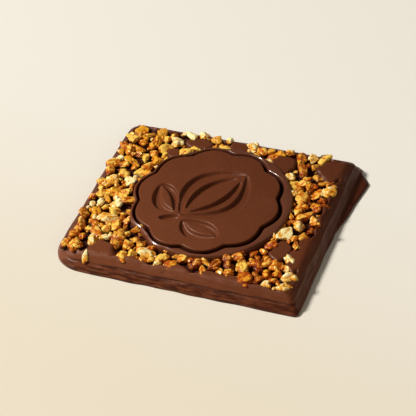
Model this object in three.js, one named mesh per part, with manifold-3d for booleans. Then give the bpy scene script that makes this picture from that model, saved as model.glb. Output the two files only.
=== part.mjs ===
// A milk chocolate tablet lying on its flat back: a thin moulded block with sloping walls,
// a raised round medallion with a scalloped edge in its middle, a narrow groove and a plain
// ring round that, and caramelised puffed grains and chopped nuts set in the chocolate.
// Millimetres, +Z up. The origin is the middle of the flat back, the long side runs along X
// and the front wall faces -Y. Chocolate and topping are one piece.
import * as THREE from "three";
import { mergeVertices } from "three/addons/utils/BufferGeometryUtils.js";
import Module from "manifold-3d";

// The moulded block
const TOP_LENGTH = 79.2;
const TOP_WIDTH = 65.2;
const TOP_HEIGHT = 6.5; // smooth chocolate above the flat back
const BED_DEPTH = 1.2; // how far the chocolate sinks between the grains
const CORNER_RADII = [1.2, 2.5, 6.5, 1.2]; // back right, back left, front left, front right
const CORNER_SPREADS = [0.4, 1, 1, 0.1]; // how much wider they get for each mm further out
const SIDE_STEPS = 20; // points along each side of an outline
const CORNER_STEPS = 6; // points round each corner

// The wall, from the top edge down: how far out of the top face, and how high
const WALL = [
  { out: 0.0, height: 6.1 },
  { out: 0.7, height: 5.6 },
  { out: 2.2, height: 4.0 }, // foot of the upper bevel
  { out: 2.5, height: 3.1 }, // steep crease half way down
  { out: 3.8, height: 1.2 }, // foot of the lower bevel
  { out: 4.3, height: 0.8 }, // thin foot left by the mould
  { out: 4.2, height: 0.0 },
];
const BEVEL_FOOT = 4.0; // the top edge sinks where grains reach it, what lies lower does not
const EDGE_SINK = 0.25;
const LEFT_EDGE_SINK = 0.9; // grains hang over this edge
const FOOT_HEIGHT = 0.8; // what lies lower is ragged

// The tongue of chocolate at the back right: its tip, how far the foot widens towards it from
// behind and from the front, and how far out it reaches
const SPUR = { x: 43.9, y: 27.1, behind: 7, before: 24, out: 4.6 };

// The ragged foot: two waves round the tablet
const FOOT_WAVES = [
  { count: 9, phase: 0.6, out: 0.125 },
  { count: 23, phase: 2.1, out: 0.125 },
];

// The medallion, whose lobes meet in sharp notches
const MEDALLION_Y = 0.7;
const MEDALLION_RADIUS = 24.9; // to the tips of the lobes
const MEDALLION_HEIGHT = 7.8;
const MEDALLION_ROUNDING = { out: 0.8, down: 0.4 }; // rounded edge of its face
const MEDALLION_FOOT = 0.3; // how far its wall slopes out
const LOBES = 10;
const LOBE_DEPTH = 2.1; // from the tip of a lobe to the notch
const LOBE_TURN = -2; // degrees
const NOTCH_ROUNDING = 0.02;
const RING_RADIUS = 26.4; // plain ring round the medallion
const RING_SHIFT = 1.8; // it sits this far to the right
const RING_REACH = 1.6; // and its edge stays at least this far outside the medallion's
const RING_HEIGHT = 7.4;
const GROOVE_HEIGHT = 5.0; // bottom of the groove between medallion and ring
const GROOVE_WIDTH = 1.7; // from the medallion's edge to the flat of the ring
const NARROWEST_RING = 0.5;

// The cocoa pod pressed into the medallion: strokes that taper to both ends,
// each from one end past a bend to the other, in mm from the pod's middle
const POD_TURN = -32; // degrees
const POD_X = 0.5;
const POD_Y = 0.9;
const STROKE_DEPTH = 1.4;
const STROKE_STEPS = 14;
const STROKE_TAPER = 0.5;
const POD_STROKES = [
  { from: [0, 16], bend: [-19, 2.2], to: [0, -12.5], width: 4.4 },
  { from: [0, 16], bend: [19, 2.2], to: [0, -12.5], width: 4.4 },
  { from: [-1, 12.4], bend: [-8, 1.6], to: [-1, -9.4], width: 3.2 },
  { from: [1, 12.4], bend: [8, 1.6], to: [1, -9.4], width: 3.2 },
  { from: [0, -13.4], bend: [-0.9, -16], to: [-3.8, -18.6], width: 3.2 },
  { from: [2.6, -13.6], bend: [9.8, -19.6], to: [16.8, -10.2], width: 3.6 },
  { from: [2.6, -13.6], bend: [11.4, -6.8], to: [16.8, -10.2], width: 3.0 },
  { from: [-2.6, -13.2], bend: [-10.8, -18.2], to: [-16.6, -8.2], width: 3.6 },
  { from: [-2.6, -13.2], bend: [-11.0, -5.2], to: [-16.6, -8.2], width: 3.0 },
];

// Where smooth chocolate covers the bed: middle, half length and half width
const SMOOTH_PATCHES = [
  { x: -13.5, y: 28.2, rx: 5.0, ry: 2.6 },
  { x: -20.5, y: 21.5, rx: 2.6, ry: 2.6 },
  { x: 0.8, y: 30.6, rx: 3.6, ry: 3.8 },
  { x: 18.6, y: 25.4, rx: 4.6, ry: 4.6 },
  { x: 21.0, y: 33.0, rx: 3.2, ry: 1.6 },
  { x: 36.2, y: 26.4, rx: 5.2, ry: 5.6 },
  { x: 31.4, y: -15.0, rx: 3.4, ry: 4.4 },
  { x: 38.0, y: -15.0, rx: 3.0, ry: 8.6 },
  { x: -26.3, y: -31.6, rx: 5.0, ry: 5.2 },
  { x: -15.0, y: -33.4, rx: 3.4, ry: 2.6 },
  { x: 1.8, y: -33.6, rx: 3.2, ry: 3.4 },
  { x: 17.0, y: -33.4, rx: 11.0, ry: 3.4 },
  { x: 0.0, y: -35.4, rx: 30.0, ry: 2.6 },
];
const PATCH_RIM = 1.25; // a patch fades out at this many times its size
const PATCH_FADE = 0.4;
const SMOOTH_LIMIT = 0.35; // grains lie where the chocolate is less smooth than this

// The largest pieces of nut: middle, length, width, and the turn of the length in degrees
const LARGE_NUTS = [
  { x: -17.8, y: 31.6, length: 5.4, width: 3.6, turn: -25 },
  { x: -21.6, y: 27.2, length: 5.4, width: 5.0, turn: 60 },
  { x: 5.2, y: 31.2, length: 4.8, width: 4.2, turn: 110 },
  { x: 27.6, y: 30.4, length: 4.8, width: 3.8, turn: 80 },
  { x: -28.6, y: 26.0, length: 7.0, width: 4.2, turn: 112 },
  { x: -37.4, y: 24.6, length: 5.6, width: 4.2, turn: -20 },
  { x: -36.0, y: 17.8, length: 5.6, width: 3.4, turn: 105 },
  { x: -25.0, y: 15.6, length: 6.2, width: 4.6, turn: 112 },
  { x: -36.4, y: 2.4, length: 6.4, width: 4.8, turn: 95 },
  { x: -36.8, y: -4.8, length: 6.4, width: 5.2, turn: 80 },
  { x: -29.0, y: -2.4, length: 6.2, width: 4.2, turn: 98 },
  { x: -31.0, y: -15.4, length: 8.4, width: 4.6, turn: -8 },
  { x: -37.2, y: -21.8, length: 7.0, width: 3.2, turn: 95 },
  { x: -31.2, y: -23.0, length: 5.2, width: 4.4, turn: -15 },
  { x: -23.4, y: -22.8, length: 6.0, width: 5.6, turn: 40 },
  { x: -35.0, y: -30.4, length: 7.0, width: 5.4, turn: 118 },
  { x: 6.2, y: -28.0, length: 5.6, width: 4.8, turn: 95 },
  { x: 12.6, y: -27.4, length: 5.2, width: 4.6, turn: 20 },
  { x: 18.2, y: -20.8, length: 5.2, width: 4.0, turn: 10 },
  { x: 21.8, y: -26.2, length: 5.2, width: 4.0, turn: 110 },
  { x: 26.2, y: -23.0, length: 6.0, width: 3.8, turn: 100 },
  { x: 30.2, y: -6.8, length: 8.2, width: 5.4, turn: 92 },
  { x: 35.2, y: -11.4, length: 5.4, width: 2.2, turn: 112 },
  { x: 32.8, y: -22.6, length: 5.2, width: 4.2, turn: 70 },
  { x: 31.4, y: -31.0, length: 3.4, width: 2.6, turn: 15 },
  { x: 26.6, y: 23.6, length: 8.2, width: 3.8, turn: 110 },
  { x: 31.2, y: 17.6, length: 7.6, width: 4.0, turn: 96 },
  { x: 37.6, y: 15.8, length: 6.8, width: 5.0, turn: 80 },
  { x: 35.6, y: 8.2, length: 6.4, width: 3.2, turn: 118 },
];
const NUT_RISE = 0.9; // how far a large piece stands above the smooth chocolate

// The grains between them: sizes from the largest down, and how many throws each gets
const GRAIN_SIZES = [
  { size: 5.2, throws: 500 },
  { size: 4.1, throws: 1000 },
  { size: 3.0, throws: 2200 },
];
const GRAIN_SEED = 20241;
const GRAIN_CLOSENESS = 0.76; // 1 lets grains only touch, less lets them overlap
const GRAIN_LENGTH = { least: 0.95, spread: 0.3 }; // of its size
const GRAIN_WIDTH = 0.9; // of its size
const GRAIN_RISE = { least: -0.05, spread: 1.0 };
const LEFT_MARGIN = -1.2; // grains hang over the left edge
const BACK_MARGIN = 0.4; // how far they keep inside the back edge
const EDGE_MARGIN = 1.1; // and inside the front and right edges
const RING_CLEARANCE = 0.2; // of a grain's size, from its middle to the ring

// How deep a piece of topping goes, how much it may tilt, and how uneven it is
const PIECE_DEPTH = { share: 0.5, extra: 1.5 };
const PIECE_TILT = 0.3;
const PIECE_UNEVENNESS = { least: 0.86, spread: 0.28 };

// The long sliver of nut that lies down the front wall near the rounded corner
const SLIVER = { x: -30.5, y: -33.8, z: 5.0, length: 5.2, width: 2.1, lean: 50 };

const wasm = await Module();
wasm.setup();

const radians = THREE.MathUtils.degToRad;
const { clamp, lerp } = THREE.MathUtils;

/** The same run of numbers from 0 to 1 for the same seed. */
function dice(seed) {
  let state = seed;
  return () => {
    state = (state * 1664525 + 1013904223) % 4294967296;
    return state / 4294967296;
  };
}

/** A closed body through rings of equal count, from a point at one end to one at the other. */
function loft(first, rings, last) {
  const count = rings[0].length;
  const points = [first, ...rings.flat(), last];
  const end = points.length - 1;
  const triangles = [];
  for (let j = 0; j < count; j += 1) {
    const next = (j + 1) % count;
    const tail = 1 + (rings.length - 1) * count;
    triangles.push(0, 1 + j, 1 + next);
    triangles.push(end, tail + next, tail + j);
  }
  for (let k = 0; k + 1 < rings.length; k += 1) {
    const upper = 1 + k * count;
    const lower = upper + count;
    for (let j = 0; j < count; j += 1) {
      const next = (j + 1) % count;
      triangles.push(upper + j, lower + j, lower + next);
      triangles.push(upper + j, lower + next, upper + next);
    }
  }
  return toSolid(points.flat(), triangles);
}

function toSolid(coordinates, triangles) {
  const mesh = new wasm.Mesh({
    numProp: 3,
    vertProperties: new Float32Array(coordinates),
    triVerts: new Uint32Array(triangles),
  });
  return new wasm.Manifold(mesh);
}

/** Points round a rounded rectangle, from the front of its right side and anticlockwise. */
function outline(out) {
  const halfX = TOP_LENGTH / 2 + out;
  const halfY = TOP_WIDTH / 2 + out;
  const signs = [[1, 1], [-1, 1], [-1, -1], [1, -1]];
  const corners = signs.map(([sx, sy], quarter) => {
    const radius = CORNER_RADII[quarter] + CORNER_SPREADS[quarter] * out;
    const arc = [];
    for (let i = 0; i <= CORNER_STEPS; i += 1) {
      const angle = (quarter + i / CORNER_STEPS) * Math.PI / 2;
      const x = sx * (halfX - radius) + radius * Math.cos(angle);
      const y = sy * (halfY - radius) + radius * Math.sin(angle);
      arc.push([x, y]);
    }
    return arc;
  });
  const points = [];
  corners.forEach((arc, quarter) => {
    const from = corners[(quarter + 3) % 4][CORNER_STEPS];
    for (let i = 1; i < SIDE_STEPS; i += 1) {
      const t = i / SIDE_STEPS;
      points.push([lerp(from[0], arc[0][0], t), lerp(from[1], arc[0][1], t)]);
    }
    points.push(...arc);
  });
  return points;
}

/** 1 in the middle of a smooth patch, 0 where the chocolate sinks between the grains. */
function smoothness(x, y) {
  let most = 0;
  for (const patch of SMOOTH_PATCHES) {
    const away = Math.hypot((x - patch.x) / patch.rx, (y - patch.y) / patch.ry);
    most = Math.max(most, Math.min(1, (PATCH_RIM - away) / PATCH_FADE));
  }
  return most;
}

function bedHeight(x, y) {
  return TOP_HEIGHT - BED_DEPTH * (1 - smoothness(x, y));
}

/** How far the ragged foot reaches past the even outline at a point of it. */
function footReach(x, y) {
  const angle = Math.atan2(y, x);
  const widening = y > SPUR.y ? SPUR.behind : SPUR.before;
  const away = Math.hypot(x - SPUR.x, y - SPUR.y);
  let reach = SPUR.out * Math.max(0, 1 - away / widening);
  for (const wave of FOOT_WAVES) {
    reach += wave.out * Math.sin(angle * wave.count + wave.phase);
  }
  return reach;
}

/** How far the top edge sinks at a point of it, because grains reach it there. */
function edgeSink(x, y) {
  const left = clamp(1 - (x + TOP_LENGTH / 2) / CORNER_RADII[2], 0, 1);
  return lerp(EDGE_SINK, LEFT_EDGE_SINK, left) * (1 - smoothness(x, y));
}

function wallRing({ out, height }) {
  const edge = outline(0);
  const share = Math.max(0, height - BEVEL_FOOT) / (WALL[0].height - BEVEL_FOOT);
  return outline(out).map(([x, y], i) => {
    const grow = height <= FOOT_HEIGHT ? footReach(x, y) : 0;
    const away = Math.hypot(x, y);
    const drop = share * edgeSink(...edge[i]);
    return [x + grow * x / away, y + grow * y / away, height - drop];
  });
}

/** A ring round the medallion's middle. Its radius is given by angle. */
function roundRing(radiusAt, height) {
  return outline(0).map(([x, y]) => {
    const angle = Math.atan2(y - MEDALLION_Y, x);
    const radius = radiusAt(angle);
    return [radius * Math.cos(angle), MEDALLION_Y + radius * Math.sin(angle), height];
  });
}

/** A ring part of the way from the plain ring to the top edge. */
function borderRing(part) {
  const shoulder = 0.5; // the plain ring drops to the bed over this width
  return outline(0).map(([x, y]) => {
    const angle = Math.atan2(y - MEDALLION_Y, x);
    const inner = ringEdge(angle) + shoulder;
    const px = lerp(inner * Math.cos(angle), x, part);
    const py = lerp(MEDALLION_Y + inner * Math.sin(angle), y, part);
    return [px, py, bedHeight(px, py)];
  });
}

/** Radius of the medallion's edge. */
function scallop(angle) {
  const swing = Math.cos(LOBES / 2 * (angle - radians(LOBE_TURN)));
  return MEDALLION_RADIUS - LOBE_DEPTH * (1 - Math.sqrt(swing ** 2 + NOTCH_ROUNDING));
}

/** Radius of the plain ring, from the medallion's middle. */
function ringEdge(angle) {
  return Math.max(RING_RADIUS + RING_SHIFT * Math.cos(angle), scallop(angle) + RING_REACH);
}

/** Block, ring and medallion as one closed surface, from the middle of the top outwards. */
function chocolateBlock() {
  const { out, down } = MEDALLION_ROUNDING;
  const foot = MEDALLION_FOOT;
  const rings = [
    roundRing((angle) => scallop(angle) - out, MEDALLION_HEIGHT),
    roundRing(scallop, MEDALLION_HEIGHT - down),
    roundRing((angle) => scallop(angle) + foot, GROOVE_HEIGHT),
    roundRing((angle) => {
      return Math.min(scallop(angle) + GROOVE_WIDTH, ringEdge(angle) - NARROWEST_RING);
    }, RING_HEIGHT),
    roundRing(ringEdge, RING_HEIGHT),
    ...[0, 0.28, 0.56, 0.84].map(borderRing),
    ...WALL.map(wallRing),
  ];
  return loft([0, MEDALLION_Y, MEDALLION_HEIGHT], rings, [0, 0, 0]);
}

/** The cutter of one stroke: a V that is widest and deepest half way along. */
function strokeCutter({ from, bend, to, width }) {
  const ends = [from, bend, to].map(([x, y]) => {
    return new THREE.Vector2(x, y).rotateAround(new THREE.Vector2(), radians(POD_TURN));
  });
  const curve = new THREE.QuadraticBezierCurve(...ends);
  const clear = 0.5; // the cutter starts this far above the face
  const rings = [];
  for (let i = 1; i < STROKE_STEPS; i += 1) {
    const t = i / STROKE_STEPS;
    const taper = Math.sin(Math.PI * t) ** STROKE_TAPER;
    const at = curve.getPoint(t);
    const along = curve.getTangent(t);
    const half = taper * width / 2 * (1 + clear / STROKE_DEPTH);
    rings.push([
      [at.x - along.y * half, at.y + along.x * half, clear],
      [at.x, at.y, clear - taper * (STROKE_DEPTH + clear)],
      [at.x + along.y * half, at.y - along.x * half, clear],
    ]);
  }
  const tips = [curve.getPoint(0), curve.getPoint(1)].map((tip) => [tip.x, tip.y, clear]);
  return loft(tips[0], rings, tips[1]).translate([
    POD_X,
    MEDALLION_Y + POD_Y,
    MEDALLION_HEIGHT,
  ]);
}

/** An uneven crumb with twenty faces, inside a box of the given size before it is turned. */
function crumb({ size, position, rotation }, roll) {
  const geometry = new THREE.IcosahedronGeometry(1, 0);
  geometry.deleteAttribute("normal");
  geometry.deleteAttribute("uv");
  const shape = mergeVertices(geometry);
  const points = shape.getAttribute("position");
  for (let i = 0; i < points.count; i += 1) {
    const push = PIECE_UNEVENNESS.least + PIECE_UNEVENNESS.spread * roll();
    points.setXYZ(i, points.getX(i) * push, points.getY(i) * push, points.getZ(i) * push);
  }
  shape.applyMatrix4(new THREE.Matrix4().compose(
    new THREE.Vector3(...position),
    new THREE.Quaternion().setFromEuler(new THREE.Euler(...rotation)),
    new THREE.Vector3(...size.map((length) => length / 2)),
  ));
  return toSolid(points.array, shape.getIndex().array);
}

/** Whether a new grain of this size would lie too deep in one that is already placed. */
function crowds(place, x, y, size) {
  const turn = radians(place.turn);
  const along = (x - place.x) * Math.cos(turn) + (y - place.y) * Math.sin(turn);
  const across = (y - place.y) * Math.cos(turn) - (x - place.x) * Math.sin(turn);
  const reachX = (place.length + size) / 2 * GRAIN_CLOSENESS;
  const reachY = (place.width + size) / 2 * GRAIN_CLOSENESS;
  return Math.hypot(along / reachX, across / reachY) < 1;
}

function onBed(x, y, size) {
  const insideLeft = x > LEFT_MARGIN - TOP_LENGTH / 2;
  const insideRight = x < TOP_LENGTH / 2 - EDGE_MARGIN;
  const insideBack = y < TOP_WIDTH / 2 - BACK_MARGIN;
  const insideFront = y > EDGE_MARGIN - TOP_WIDTH / 2;
  const angle = Math.atan2(y - MEDALLION_Y, x);
  const fromRing = Math.hypot(x, y - MEDALLION_Y) - ringEdge(angle);
  const outsideRing = fromRing > size * RING_CLEARANCE;
  const rough = smoothness(x, y) < SMOOTH_LIMIT;
  return insideLeft && insideRight && insideBack && insideFront && outsideRing && rough;
}

/** Every place on the bed that carries a piece, the large nuts first. */
function toppingPlaces(roll) {
  const places = LARGE_NUTS.map((nut) => ({ ...nut, rise: NUT_RISE }));
  for (const { size, throws } of GRAIN_SIZES) {
    for (let i = 0; i < throws; i += 1) {
      const x = (roll() - 0.5) * TOP_LENGTH;
      const y = (roll() - 0.5) * TOP_WIDTH;
      const length = size * (GRAIN_LENGTH.least + GRAIN_LENGTH.spread * roll());
      const turn = 180 * roll();
      const rise = GRAIN_RISE.least + GRAIN_RISE.spread * roll();
      if (onBed(x, y, size) && !places.some((place) => crowds(place, x, y, size))) {
        places.push({ x, y, length, width: size * GRAIN_WIDTH, turn, rise });
      }
    }
  }
  return places;
}

/** A piece of topping whose highest point is its rise above the smooth chocolate. */
function toppingPiece({ x, y, length, width, turn, rise }, roll) {
  const height = Math.min(length, width) * PIECE_DEPTH.share + PIECE_DEPTH.extra;
  const tilt = PIECE_TILT * (roll() - 0.5);
  return crumb({
    size: [length, width, height],
    position: [x, y, TOP_HEIGHT + rise - height / 2],
    rotation: [tilt, tilt, radians(turn)],
  }, roll);
}

function sliverOnWall(roll) {
  return crumb({
    size: [SLIVER.width, SLIVER.width, SLIVER.length],
    position: [SLIVER.x, SLIVER.y, SLIVER.z],
    rotation: [radians(SLIVER.lean - 90), 0, 0],
  }, roll);
}

/** The largest closed shell of a mesh, which leaves out scraps and sealed hollows. */
function largestShell(coordinates, triangles) {
  const leader = Array.from({ length: coordinates.length / 3 }, (_, i) => i);
  const find = (i) => {
    let top = i;
    while (leader[top] !== top) {
      leader[top] = leader[leader[top]];
      top = leader[top];
    }
    return top;
  };
  for (let i = 0; i < triangles.length; i += 3) {
    leader[find(triangles[i + 1])] = find(triangles[i]);
    leader[find(triangles[i + 2])] = find(triangles[i]);
  }
  const shells = new Map();
  for (let i = 0; i < triangles.length; i += 3) {
    const key = find(triangles[i]);
    const shell = shells.get(key) ?? [];
    shell.push(triangles[i], triangles[i + 1], triangles[i + 2]);
    shells.set(key, shell);
  }
  return [...shells.values()].reduce((best, shell) => (shell.length > best.length ? shell : best));
}

function toGeometry(solid) {
  const mesh = solid.getMesh();
  const geometry = new THREE.BufferGeometry();
  const position = new THREE.BufferAttribute(Float32Array.from(mesh.vertProperties), 3);
  geometry.setAttribute("position", position);
  geometry.setIndex(largestShell(mesh.vertProperties, mesh.triVerts));
  geometry.computeVertexNormals();
  return geometry;
}

function chocolateBar() {
  const roll = dice(GRAIN_SEED);
  let solid = chocolateBlock();
  for (const stroke of POD_STROKES) {
    solid = solid.subtract(strokeCutter(stroke));
  }
  for (const place of toppingPlaces(roll)) {
    solid = solid.add(toppingPiece(place, roll));
  }
  solid = solid.add(sliverOnWall(roll));
  const milkChocolate = new THREE.MeshStandardMaterial({
    color: 0x5e3424,
    roughness: 0.5,
    metalness: 0,
  });
  const mesh = new THREE.Mesh(toGeometry(solid), milkChocolate);
  mesh.name = "chocolate_bar";
  return mesh;
}

const tablet = new THREE.Group();
tablet.add(chocolateBar());

export default tablet;
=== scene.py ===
"""A milk chocolate tablet lying on its flat back on a pale table: a thin moulded block with
sloping walls, a raised scalloped medallion with a cocoa pod pressed into it, and a border
of caramelised puffed grains and chopped nuts.

The tablet is drawn in millimetres and turned into metres where it reaches Blender. The
layout of nuts, grains and smooth patches repeats the solid's own rule and seed."""
import math

import bmesh
import bpy
import numpy as np
from mathutils import Matrix, Vector


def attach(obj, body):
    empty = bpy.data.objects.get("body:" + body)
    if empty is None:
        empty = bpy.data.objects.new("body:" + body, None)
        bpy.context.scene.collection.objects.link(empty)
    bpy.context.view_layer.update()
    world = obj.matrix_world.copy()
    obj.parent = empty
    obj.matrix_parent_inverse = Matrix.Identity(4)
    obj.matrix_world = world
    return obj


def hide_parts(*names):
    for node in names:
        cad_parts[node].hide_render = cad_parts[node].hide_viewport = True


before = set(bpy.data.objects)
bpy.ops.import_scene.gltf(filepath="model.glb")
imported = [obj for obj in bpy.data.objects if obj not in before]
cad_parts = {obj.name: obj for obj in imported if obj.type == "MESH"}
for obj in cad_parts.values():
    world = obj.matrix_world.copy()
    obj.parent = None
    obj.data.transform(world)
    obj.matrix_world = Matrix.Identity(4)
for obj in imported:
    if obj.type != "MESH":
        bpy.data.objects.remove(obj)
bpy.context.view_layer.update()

MM = 0.001
NODE = "chocolate_bar"
FULL_TURN = 2 * math.pi

# --- The moulded block, as in the solid --------------------------------------------------------
TOP_LENGTH = 79.2
TOP_WIDTH = 65.2
TOP_HEIGHT = 6.5
BED_DEPTH = 1.9  # between the grains, a little deeper than in the solid
CORNER_RADII = (1.2, 2.5, 6.5, 1.2)  # back right, back left, front left, front right
CORNER_SPREADS = (0.4, 1, 1, 0.1)  # how much wider they get for each mm further out
SIDE_STEPS = 100  # points along each side of the outline
CORNER_STEPS = 20
TOP_SHOULDER = 0.4  # how far the top rounds off towards its edge
EDGE_SINK = 0.25  # how far the top edge sinks under the grains
LEFT_EDGE_SINK = 0.9
WALL = (  # how far out of the top face, and how high, from the top edge down
    (0.0, 6.1), (0.7, 5.6), (2.2, 4.0), (2.5, 3.1), (3.8, 1.2), (4.25, 0.8), (4.2, 0.0),
)
WALL_RINGS = 34
WALL_ROUNDING = 0.3  # how far the wall's corners are rounded, along the wall
BEVEL_FOOT = 4.0  # the wall above this sinks with the top edge
CREASE = {"height": 3.3, "half": 0.4, "depth": 0.5}  # a dark line along the front wall
FRONT_FADE = 3.0  # it dies away over this distance round the front corners
FOOT_HEIGHT = 0.8  # below this the foot is ragged
FOOT_FADE = 0.25  # and over this height above it the raggedness dies away
FOOT_WAVES = ((9, 0.6, 0.1), (23, 2.1, 0.1))  # count round the tablet, phase, how far out
FOOT_INSET = 0.05  # keeps the foot inside the solid's
TONGUE = {"x": 43.9, "y": 27.1, "behind": 7, "before": 24, "out": 4.4}
BACK_FACE_SHARES = (0.97, 0.7, 0.35)  # rings of the flat back, as shares of its outline

# --- The medallion -----------------------------------------------------------------------------
MEDALLION_Y = 0.7
MEDALLION_RADIUS = 24.9
MEDALLION_HEIGHT = 7.72
MEDALLION_ROUNDING = 0.45
LOBES = 10
LOBE_DEPTH = 2.1
LOBE_TURN = math.radians(-2)
NOTCH_ROUNDING = 0.02  # the smaller, the sharper the notches between the lobes
CARVED_SHARE = 0.9  # the pod stays within this share of the face
WALL_SPREAD = 0.15  # how far the medallion's wall runs outwards
GROOVE_HEIGHT = 4.9  # between medallion and ring
GROOVE_START = 0.2  # how far outside the medallion's edge its floor begins
GROOVE_WIDTH = 1.7
GROOVE_HOLLOW = 3  # the higher, the flatter its floor
# Painted shade: the groove's walls are painted darker downwards.
GROOVE_SHADE = (6.2, 7.3)  # its walls darken downwards between these heights
RING_RADIUS = 26.4
RING_SHIFT = 1.8  # it sits this far to the right
RING_REACH = 1.6  # and its edge stays at least this far outside the medallion's
RING_HEIGHT = 7.33
NARROWEST_RING = 0.5
RING_LIP = 0.12  # how far its top swells
RING_FOOT = 0.55  # how far its outer wall runs out onto the bed
RING_GAP = 0.12  # from its edge to the first row of points of that wall
RING_GLOSS = 0.4  # how far its gloss reaches down on both sides

# --- How finely the top is drawn ---------------------------------------------------------------
FACE_RINGS = 84
SMALLEST_FACE_RING = 0.012  # as a share of the face
ROUNDING_STEPS = 7
WALL_SHARES = (0.35, 0.7)  # rings of the medallion's wall, as shares of the way down
GROOVE_STEPS = 10
RING_STEPS = 9
BORDER_RINGS = 42
BORDER_END = 0.985  # the last of them, as a share of the way to the top edge

# --- The cocoa pod pressed into it: strokes from one end past a bend to the other -------------
POD_TURN = math.radians(-32)
POD_X = 0.5
POD_Y = 0.9
STROKE_DEPTH = 1.4
STROKE_WALL = 0.4  # share of a stroke's half width that its wall takes up
STROKE_TAPER = 0.5  # the higher, the longer their points
STROKE_STEPS = 90
THINNEST_STROKE = 0.01
POD_STROKES = (
    {"from": (0, 16), "bend": (-19, 2.2), "to": (0, -12.5), "width": 4.4},
    {"from": (0, 16), "bend": (19, 2.2), "to": (0, -12.5), "width": 4.4},
    {"from": (-1, 12.4), "bend": (-8, 1.6), "to": (-1, -9.4), "width": 3.2},
    {"from": (1, 12.4), "bend": (8, 1.6), "to": (1, -9.4), "width": 3.2},
    {"from": (0, -13.4), "bend": (-0.9, -16), "to": (-3.8, -18.6), "width": 3.2},
    {"from": (2.6, -13.6), "bend": (9.8, -19.6), "to": (16.8, -10.2), "width": 3.6},
    {"from": (2.6, -13.6), "bend": (11.4, -6.8), "to": (16.8, -10.2), "width": 3.0},
    {"from": (-2.6, -13.2), "bend": (-10.8, -18.2), "to": (-16.6, -8.2), "width": 3.6},
    {"from": (-2.6, -13.2), "bend": (-11.0, -5.2), "to": (-16.6, -8.2), "width": 3.0},
)

# --- Where smooth chocolate covers the bed: middle, half length and half width ----------------
SMOOTH_PATCHES = (
    (-13.5, 28.2, 5.0, 2.6), (-20.5, 21.5, 2.6, 2.6), (0.8, 30.6, 3.6, 3.8),
    (18.6, 25.4, 4.6, 4.6), (21.0, 33.0, 3.2, 1.6), (36.2, 26.4, 5.2, 5.6),
    (31.4, -15.0, 3.4, 4.4), (38.0, -15.0, 3.0, 8.6), (-26.3, -31.6, 5.0, 5.2),
    (-15.0, -33.4, 3.4, 2.6), (1.8, -33.6, 3.2, 3.4), (17.0, -33.4, 11.0, 3.4),
    (0.0, -35.4, 30.0, 2.6),
)
PATCH_RIM = 1.25  # a patch ends this far out, as a share of its half size
PATCH_FADE = 0.4  # and fades over this share
SMOOTH_LIMIT = 0.35  # no grain lies where the chocolate is smoother than this
RIM_WIDTH = 1.5  # smooth chocolate along every edge but the left one
RIM_FULL = 1.2  # where the rim is fully smooth, counted in rim widths from its inner end

# --- Unevenness of the chocolate: how deep it is, width of a lump, and seed -------------------
WAVE_COUNT = 20
WAVE_PITCHES = (0.7, 1.5)
PATCH_DRIFT_X = (0.7, 4.5, 11)
PATCH_DRIFT_Y = (0.7, 4.5, 12)
BED_LUMPS = (0.3, 2.6, 13)
BED_GRIT = (0.12, 1.2, 14)
PATCH_SWELL = (0.07, 6.0, 15)
FACE_SWELL = (0.03, 9.0, 21)
FACE_GRIT = (0.012, 2.4, 22)
WALL_STREAKS = (0.07, 0.9, 31)
STREAK_STRETCH = (0.1, 0.1, 1.0)
WALL_DENTS = (0.1, 6.0, 32)
EDGE_LUMPS = (0.12, 2.4, 33)
CREASE_WANDER = (0.35, 9.0, 34)

# --- The largest pieces of nut: middle, length, width, turn in degrees, and kind --------------
LARGE_NUTS = (
    (-17.8, 31.6, 5.4, 3.6, -25, "cream"), (-21.6, 27.2, 5.4, 5.0, 60, "cream"),
    (5.2, 31.2, 4.8, 4.2, 110, "cream"), (27.6, 30.4, 4.8, 3.8, 80, "cream"),
    (-28.6, 26.0, 7.0, 4.2, 112, "amber"), (-37.4, 24.6, 5.6, 4.2, -20, "gold"),
    (-36.0, 17.8, 5.6, 3.4, 105, "gold"), (-25.0, 15.6, 6.2, 4.6, 112, "amber"),
    (-36.4, 2.4, 6.4, 4.8, 95, "cream"), (-36.8, -4.8, 6.4, 5.2, 80, "gold"),
    (-29.0, -2.4, 6.2, 4.2, 98, "gold"), (-31.0, -15.4, 8.4, 4.6, -8, "cream"),
    (-37.2, -21.8, 7.0, 3.2, 95, "gold"), (-31.2, -23.0, 5.2, 4.4, -15, "gold"),
    (-23.4, -22.8, 6.0, 5.6, 40, "tan"), (-35.0, -30.4, 7.0, 5.4, 118, "gold"),
    (6.2, -28.0, 5.6, 4.8, 95, "tan"), (12.6, -27.4, 5.2, 4.6, 20, "tan"),
    (18.2, -20.8, 5.2, 4.0, 10, "gold"), (21.8, -26.2, 5.2, 4.0, 110, "gold"),
    (26.2, -23.0, 6.0, 3.8, 100, "amber"), (30.2, -6.8, 8.2, 5.4, 92, "cream"),
    (35.2, -11.4, 5.4, 2.2, 112, "gold"), (32.8, -22.6, 5.2, 4.2, 70, "gold"),
    (31.4, -31.0, 3.4, 2.6, 15, "cream"), (26.6, 23.6, 8.2, 3.8, 110, "tan"),
    (31.2, 17.6, 7.6, 4.0, 96, "amber"), (37.6, 15.8, 6.8, 5.0, 80, "cream"),
    (35.6, 8.2, 6.4, 3.2, 118, "amber"),
)
NUT_RISE = 0.9  # above the top face
SLIVER = {"x": -30.5, "y": -33.8, "z": 5.0, "length": 5.2, "width": 2.1, "lean": 50}

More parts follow.
